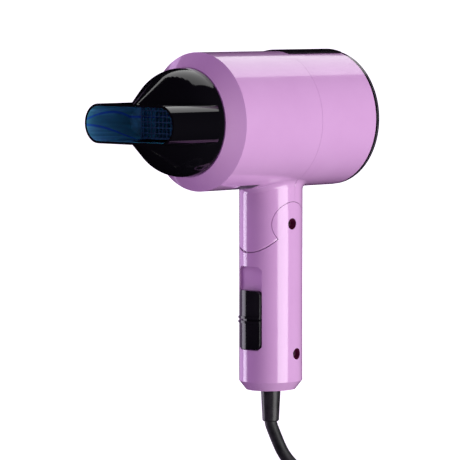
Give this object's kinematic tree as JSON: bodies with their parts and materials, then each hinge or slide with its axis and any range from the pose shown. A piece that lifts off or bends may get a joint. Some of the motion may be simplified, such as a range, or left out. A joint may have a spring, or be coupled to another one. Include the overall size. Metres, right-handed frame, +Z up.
{
  "type": "hair dryer",
  "caption": "Foldable travel hair dryer: round barrel with fan, motor and heater, push-on turning concentrator nozzle, hinged grip with slide switch, and coiled mains cord.",
  "frame": {"origin": "centre of the hand grip, on the grip's axis, 50.8 mm below the hinge", "axes": "+Z up along the grip, the nozzle blows towards -Y, +X is the side with the screw holes"},
  "size_m": [0.1721, 0.1571, 0.2638],
  "materials": {
    "pink_gloss": "high gloss moulded",
    "black_gloss": "high gloss moulded",
    "smoke_gloss": "high gloss moulded, slightly smoky",
    "black_satin": "fine satin grain",
    "label_grey": "satin film",
    "screen_mesh": "woven mesh",
    "duct_plastic": "satin",
    "white_plastic": "satin",
    "steel": "drawn",
    "zinc_steel": "zinc plated",
    "iron": "sintered",
    "copper": "enamelled winding",
    "bronze": "sintered bronze",
    "brass": "stamped",
    "mica": "layered sheet",
    "ceramic": "glazed",
    "pcb": "solder mask",
    "nichrome": "oxidised wire",
    "grille_blue": "heat-resistant, satin",
    "wire_red": "silicone sleeve",
    "wire_blue": "silicone sleeve",
    "cord_rubber": "matte sheath",
    "relief_rubber": "satin",
    "tie_strap": "woven",
    "pin_nickel": "nickel plated"
  },
  "bodies": {
    "handle": {"handle_left_shell": "pink_gloss", "handle_right_shell": "pink_gloss", "hinge_screw": "zinc_steel", "hinge_washers": "steel", "handle_screw": "zinc_steel", "switch_body": "black_satin", "switch_terminals": "brass", "handle_wires": "wire_blue", "cord_clamp": "black_satin", "clamp_screws": "zinc_steel", "strain_relief": "relief_rubber", "power_cord": "cord_rubber", "cord_coil": "cord_rubber", "cord_tie": "tie_strap", "plug_lead": "cord_rubber", "plug_body": "relief_rubber", "plug_pins": "pin_nickel"},
    "switch": {"switch_slider": "black_gloss", "switch_actuator": "white_plastic"},
    "barrel": {"front_barrel_shell": "pink_gloss", "rear_barrel_shell": "pink_gloss", "top_trim_strip": "black_gloss", "rating_label": "label_grey", "intake_grille": "black_gloss", "dust_screen": "screen_mesh", "knuckle_screws": "zinc_steel", "fan_duct": "duct_plastic", "motor_can": "zinc_steel", "motor_magnets": "iron", "motor_end_cap": "white_plastic", "motor_bearings": "bronze", "rectifier_board": "pcb", "heater_boards": "mica", "heating_coils": "nichrome", "mica_sleeve": "mica", "thermostat": "ceramic", "thermal_fuse": "steel", "barrel_wires": "wire_red", "outlet_ring": "black_satin", "outlet_grille": "grille_blue", "hinge_knuckle": "black_satin"},
    "rotor": {"fan_impeller": "duct_plastic", "motor_shaft": "steel", "motor_armature": "copper"},
    "nozzle_ring": {"nozzle_snap_ring": "steel"},
    "nozzle": {"concentrator_nozzle": "smoke_gloss"}
  },
  "joints": [
    {"name": "barrel_fold", "type": "hinge", "parent": "handle", "child": "barrel", "pos_m": [0, 0, 0.0508], "axis": [1, 0, 0], "range_deg": [0, 77]},
    {"name": "fan_spin", "type": "hinge", "parent": "barrel", "child": "rotor", "pos_m": [0, 0, 0.10875], "axis": [0, -1, 0], "continuous": true},
    {"name": "nozzle_pull", "type": "slide", "parent": "barrel", "child": "nozzle_ring", "axis": [0, -1, 0], "range_m": [0, 0.03]},
    {"name": "nozzle_spin", "type": "hinge", "parent": "nozzle_ring", "child": "nozzle", "pos_m": [0, 0, 0.10875], "axis": [0, -1, 0], "continuous": true},
    {"name": "switch_slide", "type": "slide", "parent": "handle", "child": "switch", "axis": [0, 0, 1], "range_m": [0, 0.0132]}
  ]
}
